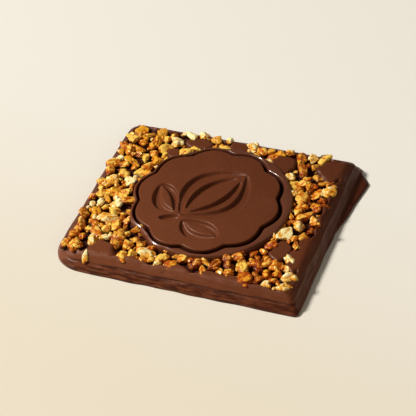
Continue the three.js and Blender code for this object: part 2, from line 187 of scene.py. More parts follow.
# --- How the grains are scattered --------------------------------------------------------------
GRAIN_SIZES = ((5.2, 500), (4.1, 1000), (3.0, 2200))  # size, and how many throws it gets
CRUMB_SIZES = ((2.7, 2500), (1.8, 800))  # what lies in the gaps between them
CRUMB_SINK = 0.8
GRAIN_SEED = 20241
CRUMB_SEED = 977
GRAIN_CLOSENESS = 0.76  # under 1, neighbours overlap
GRAIN_LENGTH = (0.95, 0.3)  # least share of the size, and how much more it can be
GRAIN_WIDTH = 0.9
GRAIN_RISE = (-0.05, 1.0)  # least height above the top face, and how much more it can be
EDGE_MARGIN = 1.1  # from the right and front edges to the middle of a grain
BACK_MARGIN = 0.4
RING_CLEARANCE = 0.2  # share of a grain's size that keeps it off the ring
# Painted shade: what lies low between the grains is painted dark between these heights, and the
# left wall under the overhanging grains gets a share of it.
GAP_HEIGHTS = (4.7, 6.3)  # what lies this low between the grains is in the dark
LEFT_SHADE = 0.34  # of that dark, on the wall under the grains

# --- How a lump of topping is cut: facets, how sharp its edges are, how deep its creases -------
PLAIN_NUT = (12, 20, 0.12)
ROUGH_NUT = (12, 20, 0.22)
NUT_CRUMB = (9, 16, 0.2)
GRAIN = (10, 28, 0.2)
SMALL_KNOB = (8, 14, 0.2)
SPLINTER = (9, 12, 0.12)
FACET_DEPTHS = (0.5, 0.9)
UNCUT_RADIUS = 1.12  # of the ball that the facets cut
CREASES = ((1.0, 1.2), (0.4, 0.5))  # weight and width
RIDGE_REACH = 0.7  # the sum of the creases' waves at which a point is on a ridge
RIDGE_MIDDLE = 0.6  # points above this stand out of the lump, those below it sink in
TILT = 0.3  # how far a lump leans, in radians
FINE, MEDIUM, COARSE = 5, 4, 3  # times that a lump's ball is split

# --- Size of a lump next to the place it lies in -----------------------------------------------
NUT_SPREAD = 1.1
NUT_DEPTH = {"share": 0.45, "extra": 1.3}
GRAIN_SPREAD = {"along": 1.05, "across": 1.18}
GRAIN_STRETCH = (0.85, 1.3)
GRAIN_DEPTH = {"share": 0.75, "extra": 0.6}
STUCK_CRUMBS = {"count": 2, "along": (-0.4, 0.4), "across": (-0.36, 0.36),
                "size": (0.4, 0.55), "stretch": 1.3, "down": (0.3, 0.9)}
GROWN_KNOBS = {"most": 1, "along": (-0.38, 0.38), "across": (-0.3, 0.3),
               "size": (0.45, 0.6), "stretch": 1.25, "down": (0.2, 0.9)}

# --- Colours as linear light -------------------------------------------------------------------
# The chocolate's mottle runs between these two, and so does a painted falloff of light and sheen
# towards the back right.
MILK_CHOCOLATE = (0.165, 0.045, 0.0165)
DARKER_CHOCOLATE = (0.086, 0.021, 0.007)
# Drag lines on the lower front wall, and the painted shadow on the tongue.
DRAG_AND_SHADOW_CHOCOLATE = (0.055, 0.011, 0.0035)
# Painted shade for the chocolate low in the gaps and the groove.
SHADED_GAP_CHOCOLATE = (0.040, 0.0055, 0.0015)
# The crease colours are painted shade, the body colours are the grains' own, and the ridge colours
# are partly the nut's own pale flesh and partly painted highlight.
GRAIN_COLOURS = {  # from the creases to the ridges
    "cream": ((0.28, 0.030, 0.001), (0.82, 0.365, 0.025), (0.98, 0.86, 0.43)),
    "gold": ((0.12, 0.005, 0.0005), (0.58, 0.132, 0.002), (0.92, 0.58, 0.09)),
    "amber": ((0.07, 0.003, 0.0005), (0.41, 0.062, 0.001), (0.80, 0.36, 0.02)),
    "tan": ((0.065, 0.003, 0.0005), (0.34, 0.057, 0.001), (0.72, 0.34, 0.035)),
}
GRAIN_SHARES = {"cream": 0.18, "gold": 0.32, "amber": 0.30, "tan": 0.20}
SHADE_STOPS = (0.2, 0.48, 0.82)  # where crease, body and ridge colours are full
TABLE_FRONT = (0.75, 0.67, 0.525)
TABLE_BACK = (0.80, 0.76, 0.68)

# --- Where the finishes change: directions, and how far along them in millimetres -------------
UPWARDS = (0, 0, 1)
RIGHTWARDS = (1, 0, 0)
FORWARDS = (0, -1, 0)
TO_BACK_RIGHT = (1, 1, 0)
TO_FRONT_RIGHT = (1, -0.8, 0)
INTO_THE_BACK = (0.15, 1, 0)
TABLET_REACH = (-85, 85)
BORDER_REACH = (-45, 45)
TABLE_REACH = (-80, 70)
FRONT_WALL = (33.5, 35.0)
ABOVE_CREASE = (3.1, 3.9)
TONGUE_ROOT = (43.8, 45.0)
DRAG_STRETCH = (0.17, 0.17, 1.3)

# --- The photograph's view and light -----------------------------------------------------------
VIEW_TARGET = Vector((0, 0, 4.0)) * MM
VIEW_AZIMUTH = math.radians(25.1)
VIEW_ELEVATION = math.radians(42.5)
VIEW_DISTANCE = 575 * MM
VIEW_ROLL = math.radians(-6.6)
IMAGE_SIDE = 416
FOCAL_PIXELS = 1700
SENSOR_WIDTH = 36
CLIP_DISTANCES = (0.01, 20)
KEY_LIGHT = {"place": (-2.08, -0.48, 2.12), "size": 0.56, "power": 118.0,
             "colour": (1.0, 0.985, 0.955)}
CARD_LIGHT = {"place": (0.75, -0.45, 0.55), "size": 0.7, "power": 1.4,
              "colour": (1.0, 0.88, 0.72)}
STUDIO_COLOUR = (1.0, 0.96, 0.9, 1)
STUDIO_STRENGTH = 0.12
TABLE_SIDE = 6
TABLE_DROP = 0.00002  # keeps the table just clear of the tablet's back


def dice(seed):
    """The same run of numbers from 0 to 1 for the same seed."""
    state = seed
    while True:
        state = (state * 1664525 + 1013904223) % 4294967296
        yield state / 4294967296


def waves(points, pitch, seed):
    """Smooth lumps about one pitch across, mostly from -1 to 1, at an array of points."""
    chance = np.random.default_rng(seed)
    along = chance.normal(size=(WAVE_COUNT, 3))
    along /= np.linalg.norm(along, axis=1)[:, None]
    rates = FULL_TURN / (pitch * chance.uniform(*WAVE_PITCHES, WAVE_COUNT))
    phases = chance.uniform(0, FULL_TURN, WAVE_COUNT)
    total = np.sin(points @ (along * rates[:, None]).T + phases).sum(axis=1)
    return total / math.sqrt(2 * WAVE_COUNT)


def uneven(points, unevenness):
    """How far each point moves for one row of the table of unevenness."""
    depth, pitch, seed = unevenness
    return depth * waves(points, pitch, seed)


def uneven_at(x, y, unevenness):
    """The same for points that are given from above."""
    return uneven(np.stack((x, y, np.zeros_like(x)), axis=1), unevenness)


# --- Shape of the block ------------------------------------------------------------------------
def outline(out):
    """Points round a rounded rectangle, from the front of its right side, anticlockwise."""
    half = np.array((TOP_LENGTH / 2 + out, TOP_WIDTH / 2 + out))
    signs = ((1, 1), (-1, 1), (-1, -1), (1, -1))
    arcs = []
    for quarter, sign in enumerate(signs):
        radius = CORNER_RADII[quarter] + CORNER_SPREADS[quarter] * out
        angles = (quarter + np.linspace(0, 1, CORNER_STEPS + 1)) * math.pi / 2
        middle = np.array(sign) * (half - radius)
        arcs.append(middle + radius * np.stack((np.cos(angles), np.sin(angles)), axis=1))
    points = []
    for quarter, arc in enumerate(arcs):
        start = arcs[quarter - 1][-1]
        shares = np.linspace(0, 1, SIDE_STEPS + 1)[1:-1, None]
        points += [start + (arc[0] - start) * shares, arc]
    return np.concatenate(points)


def smoothness(x, y):
    """1 on smooth chocolate, 0 where it sinks between the grains."""
    most = np.zeros_like(x)
    for at_x, at_y, reach_x, reach_y in SMOOTH_PATCHES:
        away = np.hypot((x - at_x) / reach_x, (y - at_y) / reach_y)
        most = np.maximum(most, np.minimum(1, (PATCH_RIM - away) / PATCH_FADE))
    return most


def poured_smoothness(x, y):
    """The same with wandering borders, and with a smooth rim along the edges."""
    drift_x = uneven_at(x, y, PATCH_DRIFT_X)
    drift_y = uneven_at(x, y, PATCH_DRIFT_Y)
    inside = np.minimum(TOP_LENGTH / 2 - x, TOP_WIDTH / 2 - np.abs(y)) + drift_x
    rim = np.clip(RIM_FULL - inside / RIM_WIDTH, 0, 1)
    level = np.maximum(smoothness(x + drift_x, y + drift_y), rim)
    return level * level * (3 - 2 * level)


def bed_height(x, y):
    """Height of the chocolate round the ring, between the grains and on the smooth patches."""
    smooth = poured_smoothness(x, y)
    rough = uneven_at(x, y, BED_LUMPS) + uneven_at(x, y, BED_GRIT)
    swell = uneven_at(x, y, PATCH_SWELL)
    edge = np.maximum(np.abs(x) - TOP_LENGTH / 2, np.abs(y) - TOP_WIDTH / 2)
    shoulder = TOP_SHOULDER * np.clip(1 + edge / RIM_WIDTH, 0, 1) ** 2
    return TOP_HEIGHT - shoulder - BED_DEPTH * (1 - smooth) + rough * (1 - smooth) + swell * smooth


def foot_reach(x, y):
    """How far the ragged foot reaches past the even outline, with the tongue at its back
    right corner."""
    angle = np.arctan2(y, x)
    widening = np.where(y > TONGUE["y"], TONGUE["behind"], TONGUE["before"])
    away = np.hypot(x - TONGUE["x"], y - TONGUE["y"])
    reach = TONGUE["out"] * np.maximum(0, 1 - away / widening)
    for count, phase, out in FOOT_WAVES:
        reach = reach + out * np.sin(angle * count + phase)
    return reach


def edge_sink(x, y):
    """How far the top edge sinks, because grains reach it there."""
    left = np.clip(1 - (x + TOP_LENGTH / 2) / CORNER_RADII[2], 0, 1)
    depth = EDGE_SINK + (LEFT_EDGE_SINK - EDGE_SINK) * left
    return depth * (1 - smoothness(x, y))


def stroke_depths(x, y):
    """How deep the pod's strokes cut at each point. The deepest stroke wins."""
    cos, sin = math.cos(POD_TURN), math.sin(POD_TURN)
    turn = np.array(((cos, -sin), (sin, cos)))
    here_x, here_y = x - POD_X, y - MEDALLION_Y - POD_Y
    t = np.linspace(0, 1, STROKE_STEPS)[:, None]
    taper = np.maximum(np.sin(math.pi * t[:, 0]), 0) ** STROKE_TAPER
    depth = np.zeros_like(x)
    for stroke in POD_STROKES:
        start, bend, end = (turn @ np.array(stroke[key]) for key in ("from", "bend", "to"))
        curve = (1 - t) ** 2 * start + 2 * t * (1 - t) * bend + t * t * end
        away = np.hypot(here_x[:, None] - curve[:, 0], here_y[:, None] - curve[:, 1])
        share = 1 - away / np.maximum(taper * stroke["width"] / 2, THINNEST_STROKE)
        cut = taper * np.clip(share / STROKE_WALL, 0, 1)
        depth = np.maximum(depth, cut.max(axis=1) * STROKE_DEPTH)
    return depth


def scallop(angle):
    """Radius of the medallion's edge."""
    swing = np.cos(LOBES / 2 * (angle - LOBE_TURN))
    return MEDALLION_RADIUS - LOBE_DEPTH * (1 - np.sqrt(swing ** 2 + NOTCH_ROUNDING))


def ring_edge(angle):
    """Radius of the plain ring, from the medallion's middle."""
    return np.maximum(RING_RADIUS + RING_SHIFT * np.cos(angle), scallop(angle) + RING_REACH)


def round_ring(angle, radius, height, carved=False):
    """Points at a radius round the medallion's middle, with the pod cut in where asked."""
    x, y = radius * np.cos(angle), MEDALLION_Y + radius * np.sin(angle)
    level = height + uneven_at(x, y, FACE_SWELL) + uneven_at(x, y, FACE_GRIT)
    if carved:
        level = level - stroke_depths(x, y)
    return np.stack((x, y, level), axis=1)


def medallion_rings(angle):
    """Face, wall, groove and plain ring, from the middle outwards."""
    edge = scallop(angle)
    face = edge - MEDALLION_ROUNDING
    rings = [round_ring(angle, share * face, MEDALLION_HEIGHT, share < CARVED_SHARE)
             for share in np.linspace(SMALLEST_FACE_RING, 1, FACE_RINGS)]
    for bend in np.linspace(0, math.pi / 2, ROUNDING_STEPS)[1:]:
        out = MEDALLION_ROUNDING * (math.sin(bend) - 1)
        down = MEDALLION_ROUNDING * (1 - math.cos(bend))
        rings.append(round_ring(angle, edge + out, MEDALLION_HEIGHT - down))
    wall_top = MEDALLION_HEIGHT - MEDALLION_ROUNDING
    for share in WALL_SHARES:
        height = wall_top + (GROOVE_HEIGHT - wall_top) * share
        rings.append(round_ring(angle, edge + WALL_SPREAD * share, height))
    outer = ring_edge(angle)
    inner = np.minimum(edge + GROOVE_WIDTH, outer - NARROWEST_RING)
    start = edge + GROOVE_START
    for share in np.linspace(0, 1, GROOVE_STEPS):
        rise = math.sin(share * math.pi / 2) ** GROOVE_HOLLOW
        height = GROOVE_HEIGHT + (RING_HEIGHT - GROOVE_HEIGHT) * rise
        rings.append(round_ring(angle, start + (inner - start) * share, height))
    for share in np.linspace(0, 1, RING_STEPS)[1:]:
        lip = RING_LIP * math.sin(share * math.pi)
        rings.append(round_ring(angle, inner + (outer - inner) * share, RING_HEIGHT + lip))
    return rings


def border_rings(edge, angle):
    """The bed of the topping, from the plain ring to the top edge."""
    rim = ring_edge(angle) + RING_GAP
    start = np.stack((rim * np.cos(angle), MEDALLION_Y + rim * np.sin(angle)), axis=1)
    rings = []
    for share in np.linspace(0, BORDER_END, BORDER_RINGS):
        at = start + (edge - start) * share
        bed = bed_height(*at.T)
        away = np.hypot(at[:, 0], at[:, 1] - MEDALLION_Y) - rim
        hold = np.exp(-(away / RING_FOOT) ** 2)
        rings.append(np.column_stack((at, bed + (RING_HEIGHT - bed) * hold)))
    return rings


def wall_profile():
    """The wall's line with its corners rounded: how far out, and how high."""
    outs, heights = np.array(WALL).T
    lengths = np.hypot(np.diff(outs), np.diff(heights))
    along = np.concatenate(((0,), np.cumsum(lengths)))
    steps = np.linspace(0, along[-1], WALL_RINGS)
    nearby = np.linspace(-WALL_ROUNDING, WALL_ROUNDING, 9)
    places = np.clip(steps[:, None] + nearby, 0, along[-1])
    return [np.interp(places, along, values).mean(axis=1) for values in (outs, heights)]


def wall_rings(edge):
    """The walls, down to the table."""
    sink = edge_sink(*edge.T)
    front = np.clip((-edge[:, 1] - TOP_WIDTH / 2 + FRONT_FADE) / FRONT_FADE, 0, 1)
    rings = []
    for out, height in zip(*wall_profile()):
        level = outline(out)
        place = np.column_stack((level, np.full(len(level), height)))
        streaks = uneven(place * STREAK_STRETCH, WALL_STREAKS)
        held = min(1, height)  # the wall is even where it meets the table
        foot = np.clip((FOOT_HEIGHT + FOOT_FADE - height) / FOOT_FADE, 0, 1)
        grow = foot * (foot_reach(*level.T) - FOOT_INSET)
        grow = grow + held * (streaks + uneven(place, WALL_DENTS))
        crease_height = CREASE["height"] + uneven_at(*level.T, CREASE_WANDER)
        nearness = np.exp(-((height - crease_height) / CREASE["half"]) ** 2)
        grow = grow - CREASE["depth"] * front * nearness
        spread = level * (1 + grow / np.hypot(*level.T))[:, None]
        share = max(0, height - BEVEL_FOOT) / (WALL[0][1] - BEVEL_FOOT)
        drop = share * (sink + sink * uneven(place, EDGE_LUMPS))
        rings.append(np.column_stack((spread, height - drop)))
    rings[-1][:, 2] = 0
    return rings


def tablet_mesh():
    """Block, ring and medallion as one closed surface."""
    edge = outline(0.0)
    angle = np.arctan2(edge[:, 1] - MEDALLION_Y, edge[:, 0])
    rings = medallion_rings(angle) + border_rings(edge, angle) + wall_rings(edge)
    foot = rings[-1]
    rings += [foot * (share, share, 1) for share in BACK_FACE_SHARES]
    middle = np.array((0.0, MEDALLION_Y, MEDALLION_HEIGHT))
    middle[2] -= stroke_depths(middle[:1], middle[1:2])[0]
    mesh = closed_mesh("milk_chocolate_tablet", middle, np.array(rings), np.zeros(3))
    points = np.array([vertex.co[:] for vertex in mesh.vertices]) / MM
    height = points[:, 2]
    # The gap layer holds painted shade: on the bed low between the grains, down the groove and on
    # the left wall under the grains.
    on_bed = between_grains(points) * in_the_dark(height, GAP_HEIGHTS)
    in_groove = within_ring(points, 0, GROOVE_WIDTH) * in_the_dark(height, GROOVE_SHADE)
    add_layer(mesh, "gap", np.maximum(on_bed, in_groove))
    add_layer(mesh, "gloss", within_ring(points, GROOVE_WIDTH - RING_GLOSS, np.inf))
    return mesh


def within_ring(points, nearest, furthest):
    """1 for points of the top that are between two distances from the medallion's edge,
    up to the outside of the ring, and 0 for the others."""
    x, y, z = points.T - ((0,), (MEDALLION_Y,), (0,))
    angle, away = np.arctan2(y, x), np.hypot(x, y)
    from_edge = away - scallop(angle)
    inside = (z > TOP_HEIGHT / 2) & (away < ring_edge(angle) + RING_GLOSS)
    return (inside & (from_edge > nearest) & (from_edge < furthest)).astype(float)


def between_grains(points):
    """Where painted shade may fall: 1 for points of the top, with the bed and the groove, less
    down the left wall under the grains that hang over it, and 0 for the other walls and the back."""
    x, y, z = points.T
    above_foot = np.clip((z - FOOT_HEIGHT) / (BEVEL_FOOT - FOOT_HEIGHT), 0, 1)
    share = np.where(x < -TOP_LENGTH / 2, LEFT_SHADE * above_foot, z > TOP_HEIGHT / 2)
    return share * ((x < TOP_LENGTH / 2) & (np.abs(y) < TOP_WIDTH / 2))


def in_the_dark(height, heights):
    """How much painted shade a point gets: 1 at the lower of two heights, where hardly any light
    comes, 0 at the upper one.
    """
    low, high = heights
    return np.clip((high - height) / (high - low), 0, 1)


def add_layer(mesh, name, values):
    """Gives each point of the mesh a number that its finish can read."""
    layer = mesh.attributes.new(name, "FLOAT", "POINT")
    layer.data.foreach_set("value", values)


def closed_mesh(name, first, rings, last):
    """A mesh through rings of equal count, closed by a point at each end."""
    layers, count, _ = rings.shape
    points = np.concatenate((first[None], rings.reshape(-1, 3), last[None])) * MM
    here = np.arange(count)
    after = np.roll(here, -1)
    end = len(points) - 1
    faces = np.stack((np.zeros(count, int), 1 + here, 1 + after), axis=1).tolist()
    for layer in range(layers - 1):
        upper = 1 + layer * count
        lower = upper + count
        faces += np.stack((upper + here, lower + here, lower + after, upper + after), 1).tolist()
    tail = 1 + (layers - 1) * count
    faces += np.stack((np.full(count, end), tail + after, tail + here), axis=1).tolist()
    mesh = bpy.data.meshes.new(name)
    mesh.from_pydata(points.tolist(), [], faces)
    return mesh


# --- Where the topping lies --------------------------------------------------------------------
def crowds(place, x, y, size):
    """True if a grain of this size would lie on the one at that place."""
    turn = math.radians(place["turn"])
    along = (x - place["x"]) * math.cos(turn) + (y - place["y"]) * math.sin(turn)
    across = (y - place["y"]) * math.cos(turn) - (x - place["x"]) * math.sin(turn)
    reach_x = (place["length"] + size) / 2 * GRAIN_CLOSENESS
    reach_y = (place["width"] + size) / 2 * GRAIN_CLOSENESS
    return math.hypot(along / reach_x, across / reach_y) < 1


def on_bed(x, y, size):
    """True where a grain may lie: off the ring, the smooth patches and every edge but the
    left one."""
    inside_x = x < TOP_LENGTH / 2 - EDGE_MARGIN
    inside_y = EDGE_MARGIN - TOP_WIDTH / 2 < y < TOP_WIDTH / 2 - BACK_MARGIN
    from_ring = math.hypot(x, y - MEDALLION_Y) - ring_edge(math.atan2(y - MEDALLION_Y, x))
    outside_ring = from_ring > size * RING_CLEARANCE
    if not (inside_x and inside_y and outside_ring):
        return False
    return smoothness(np.array([x]), np.array([y]))[0] < SMOOTH_LIMIT


def throw(roll, sizes, places):
    """Throws grains of the given sizes on the bed, and keeps those that find room."""
    for size, throws in sizes:
        for _ in range(throws):
            x = (next(roll) - 0.5) * TOP_LENGTH
            y = (next(roll) - 0.5) * TOP_WIDTH
            length = size * (GRAIN_LENGTH[0] + GRAIN_LENGTH[1] * next(roll))
            turn = 180 * next(roll)
            rise = GRAIN_RISE[0] + GRAIN_RISE[1] * next(roll)
            if on_bed(x, y, size) and not any(crowds(place, x, y, size) for place in places):
                places.append({
                    "x": x, "y": y, "length": length, "width": size * GRAIN_WIDTH,
                    "turn": turn, "rise": rise,
                })


def topping_places():
    """Nuts, grains and crumbs, as three lists."""
    keys = ("x", "y", "length", "width", "turn", "kind")
    places = [dict(zip(keys, nut), rise=NUT_RISE) for nut in LARGE_NUTS]
    nuts = len(places)
    throw(dice(GRAIN_SEED), GRAIN_SIZES, places)
    grains = len(places)
    throw(dice(CRUMB_SEED), CRUMB_SIZES, places)
    return places[:nuts], places[nuts:grains], places[grains:]


# --- Shape of the topping ----------------------------------------------------------------------
def unit_ball(splits):
    """Points and triangles of an icosahedron split the given number of times."""
    shape = bmesh.new()
    bmesh.ops.create_icosphere(shape, subdivisions=splits, radius=1)
    points = np.array([vertex.co[:] for vertex in shape.verts])
    triangles = np.array([[corner.index for corner in face.verts] for face in shape.faces])
    shape.free()
    return points, triangles


def chunk(ball, chance, facets, sharpness, crag):
    """A ball cut to uneven facets and creased, and how far each point is from a crease."""
    normals = chance.normal(size=(facets, 3))
    normals /= np.linalg.norm(normals, axis=1)[:, None]
    depths = chance.uniform(*FACET_DEPTHS, facets)
    push = (np.clip(ball @ normals.T, 0, None) / depths) ** sharpness
    radius = (push.sum(axis=1) + UNCUT_RADIUS ** -sharpness) ** (-1 / sharpness)
    seed = int(chance.integers(1 << 30))
    lumps = sum(weight * np.abs(waves(ball, width, seed + turn))
                for turn, (weight, width) in enumerate(CREASES))
    ridge = np.clip(lumps / RIDGE_REACH, 0, 1)
    shape = ball * (radius * (1 + crag * (ridge - RIDGE_MIDDLE)))[:, None]
    return shape / np.abs(shape).max(axis=0), ridge


def turned(points, angles):
    """Points turned about X, Y and Z in that order."""
    for axis, angle in zip("XYZ", angles):
        points = points @ np.array(Matrix.Rotation(angle, 3, axis)).T
    return points


class Heap:
    """Many lumps that become one mesh. Each point knows its lump's tone, how near a ridge and how
    high up its lump it is, which the finish turns into painted light and shade, and how much
    painted shade it gets low in a gap."""

    def __init__(self):
        self.points, self.triangles = [], []
        self.layers = {"tone": [], "ridge": [], "lift": [], "gap": []}
        self.count = 0

    def add(self, points, triangles, tone, ridge, gap):
        height = points[:, 2]
        self.points.append(points)
        self.triangles.append(triangles + self.count)
        self.layers["tone"].append(np.full(len(points), tone))
        self.layers["ridge"].append(ridge)
        self.layers["lift"].append((height - height.min()) / np.ptp(height))
        self.layers["gap"].append(gap)
        self.count += len(points)

    def mesh(self, name):
        mesh = bpy.data.meshes.new(name)
        points = np.concatenate(self.points) * MM
        mesh.from_pydata(points.tolist(), [], np.concatenate(self.triangles).tolist())
        for key, values in self.layers.items():
            add_layer(mesh, key, np.concatenate(values))
        mesh.shade_smooth()
        return mesh


def add_lump(heap, ball, chance, place, size, look, tone):
    """One lump whose highest point is at the place's height."""
    points, triangles = ball
    shape, ridge = chunk(points, chance, *look)
    tilt = chance.uniform(-TILT, TILT, 2)
    shape = turned(shape * np.array(size) / 2, (*tilt, math.radians(place["turn"])))
    shape = shape + (place["x"], place["y"], TOP_HEIGHT + place["rise"] - shape[:, 2].max())
    # Its low points get painted shade where they lie in a gap.
    heap.add(shape, triangles, tone, ridge, in_the_dark(shape[:, 2], GAP_HEIGHTS))


def beside(place, along, across, down):
    """A place some way along and across another one, and lower."""
    turn = math.radians(place["turn"])
    x = place["x"] + along * math.cos(turn) - across * math.sin(turn)
    y = place["y"] + along * math.sin(turn) + across * math.cos(turn)
    return dict(place, x=x, y=y, rise=place["rise"] - down)


def chopped_nut(heap, place, balls, chance):
    """An angular piece of nut, with two small crumbs caramelised to it."""
    length, width = place["length"], place["width"]
    look = PLAIN_NUT if place["kind"] == "cream" else ROUGH_NUT
    tone = chance.uniform()
    depth = width * NUT_DEPTH["share"] + NUT_DEPTH["extra"]
    size = (length * NUT_SPREAD, width * NUT_SPREAD, depth)
    add_lump(heap, balls[FINE], chance, place, size, look, tone)
    for _ in range(STUCK_CRUMBS["count"]):
        along = chance.uniform(*STUCK_CRUMBS["along"]) * length
        across = chance.choice(STUCK_CRUMBS["across"]) * width
        thick = chance.uniform(*STUCK_CRUMBS["size"]) * width
        spot = beside(place, along, across, chance.uniform(*STUCK_CRUMBS["down"]))
        size = (thick * STUCK_CRUMBS["stretch"], thick, thick)
        add_lump(heap, balls[COARSE], chance, spot, size, NUT_CRUMB, tone)


def puffed_grain(heap, place, balls, chance):
    """A knobbly grain: a main lump, and a smaller one grown on about half of them."""
    length, width = place["length"], place["width"]
    tone = chance.uniform()
    stretch = chance.uniform(*GRAIN_STRETCH)
    depth = width * GRAIN_DEPTH["share"] + GRAIN_DEPTH["extra"]
    size = (
        length * GRAIN_SPREAD["along"] * stretch, width * GRAIN_SPREAD["across"] / stretch, depth
    )
    add_lump(heap, balls[MEDIUM], chance, place, size, GRAIN, tone)
    for _ in range(int(chance.integers(0, GROWN_KNOBS["most"] + 1))):
        along = chance.choice(GROWN_KNOBS["along"]) * length
        across = chance.uniform(*GROWN_KNOBS["across"]) * width
        thick = chance.uniform(*GROWN_KNOBS["size"]) * width
        spot = beside(place, along, across, chance.uniform(*GROWN_KNOBS["down"]))
        size = (thick * GROWN_KNOBS["stretch"], thick, thick)
        add_lump(heap, balls[COARSE], chance, spot, size, SMALL_KNOB, tone)


def crumb(heap, place, balls, chance):
    """A small crumb that lies low in a gap."""
    size = (place["length"], place["width"], place["width"])
    spot = dict(place, rise=place["rise"] - CRUMB_SINK)
    add_lump(heap, balls[COARSE], chance, spot, size, SMALL_KNOB, chance.uniform())


def sliver_on_wall(heap, balls, chance):
    """The long sliver of nut down the front wall near the rounded corner."""
    points, triangles = balls[COARSE]
    shape, ridge = chunk(points, chance, *SPLINTER)
    size = np.array((SLIVER["width"], SLIVER["width"], SLIVER["length"])) / 2
    shape = turned(shape * size, (math.radians(SLIVER["lean"] - 90), 0, 0))
    shape = shape + (SLIVER["x"], SLIVER["y"], SLIVER["z"])
    palest = 1.0
    heap.add(shape, triangles, palest, ridge, np.zeros(len(shape)))


def topping_heaps():
    """Every piece of topping, sorted into one heap for each kind."""
    chance = np.random.default_rng(GRAIN_SEED)
    heaps = {kind: Heap() for kind in GRAIN_COLOURS}
    balls = {splits: unit_ball(splits) for splits in (COARSE, MEDIUM, FINE)}
    nuts, grains, crumbs = topping_places()
    kinds, shares = list(GRAIN_SHARES), list(GRAIN_SHARES.values())
    for place in nuts:
        chopped_nut(heaps[place["kind"]], place, balls, chance)
    for place in grains:
        puffed_grain(heaps[str(chance.choice(kinds, p=shares))], place, balls, chance)
    for place in crumbs:
        crumb(heaps[str(chance.choice(kinds, p=shares))], place, balls, chance)
    sliver_on_wall(heaps["cream"], balls, chance)
    return heaps


# --- Finishes ----------------------------------------------------------------------------------
class Wire:
    """One output in a material. Arithmetic on it adds Math nodes."""

    def __init__(self, finish, socket):
        self.finish = finish
        self.socket = socket

    def math(self, operation, first, second):
        return self.finish.node("ShaderNodeMath", {"operation": operation}, {0: first, 1: second})

    def __add__(self, other):
        return self.math("ADD", self, other)

    def __radd__(self, other):
        return self.math("ADD", other, self)

    def __rsub__(self, other):
        return self.math("SUBTRACT", other, self)

    def __mul__(self, other):
        return self.math("MULTIPLY", self, other)

    def __rmul__(self, other):
        return self.math("MULTIPLY", other, self)

    def step(self, low, high):
        """0 below low, 1 above high, and a smooth rise between them."""
        return self.finish.node(
            "ShaderNodeMapRange",
            {"interpolation_type": "SMOOTHSTEP"},
            {"Value": self, "From Min": low, "From Max": high},
        )


class Finish:
    """A material in the making."""

    def __init__(self, name):
        self.material = bpy.data.materials.new(name)
        self.material.use_nodes = True
        self.tree = self.material.node_tree
        self.shader = self.tree.nodes["Principled BSDF"]
        place = self.node("ShaderNodeTexCoord", {}, {}, "Object")
        self.place = self.node(
            "ShaderNodeVectorMath", {"operation": "SCALE"}, {"Vector": place, "Scale": 1 / MM}
        )

    def node(self, kind, settings, sockets, output=0):
        """Adds a node: its settings first, then the values and links of its sockets."""
        node = self.tree.nodes.new(kind)
        for name, value in settings.items():
            setattr(node, name, value)
        for key, value in sockets.items():
            self.feed(node.inputs[key], value)
        return Wire(self, node.outputs[output])

    def feed(self, socket, value):
        if isinstance(value, Wire):
            self.tree.links.new(value.socket, socket)
        elif socket.type == "RGBA" and len(value) == 3:
            socket.default_value = (*value, 1)
        else:
            socket.default_value = value

    def set(self, **sockets):
        """Feeds the shader's own sockets."""
        for name, value in sockets.items():
            self.feed(self.shader.inputs[name.replace("_", " ")], value)

    def stretched(self, shares):
        """The place with each of its three measures multiplied."""
        return self.node(
            "ShaderNodeVectorMath", {"operation": "MULTIPLY"}, {0: self.place, 1: shares}
        )

    def noise(self, pitch, detail=3.0, place=None):
        """Noise whose lumps are about one pitch across, from 0 to 1."""
        return self.node(
            "ShaderNodeTexNoise",
            {},
            {"Vector": place or self.place, "Scale": 1 / pitch, "Detail": detail},
            "Fac",
        )

    def blend(self, share, first, second):
        """One colour into another."""
        return self.node(
            "ShaderNodeMix", {"data_type": "RGBA"}, {0: share, 6: first, 7: second}, 2
        )

    def layer(self, name):
        """A number that the mesh holds at each point."""
        return self.node("ShaderNodeAttribute", {"attribute_name": name}, {}, "Fac")

    def along(self, direction):
        """How far each point lies along a direction, in millimetres."""
        return self.node(
            "ShaderNodeVectorMath",
            {"operation": "DOT_PRODUCT"},
            {0: self.place, 1: direction},
            "Value",
        )

    def bump(self, relief, depth, strength, under=None):
        """A bump whose relief, from 0 to 1, is so many millimetres deep."""
        sockets = {"Height": relief * (depth * MM), "Distance": 1.0, "Strength": strength}
        if under:
            sockets["Normal"] = under
        return self.node("ShaderNodeBump", {}, sockets)


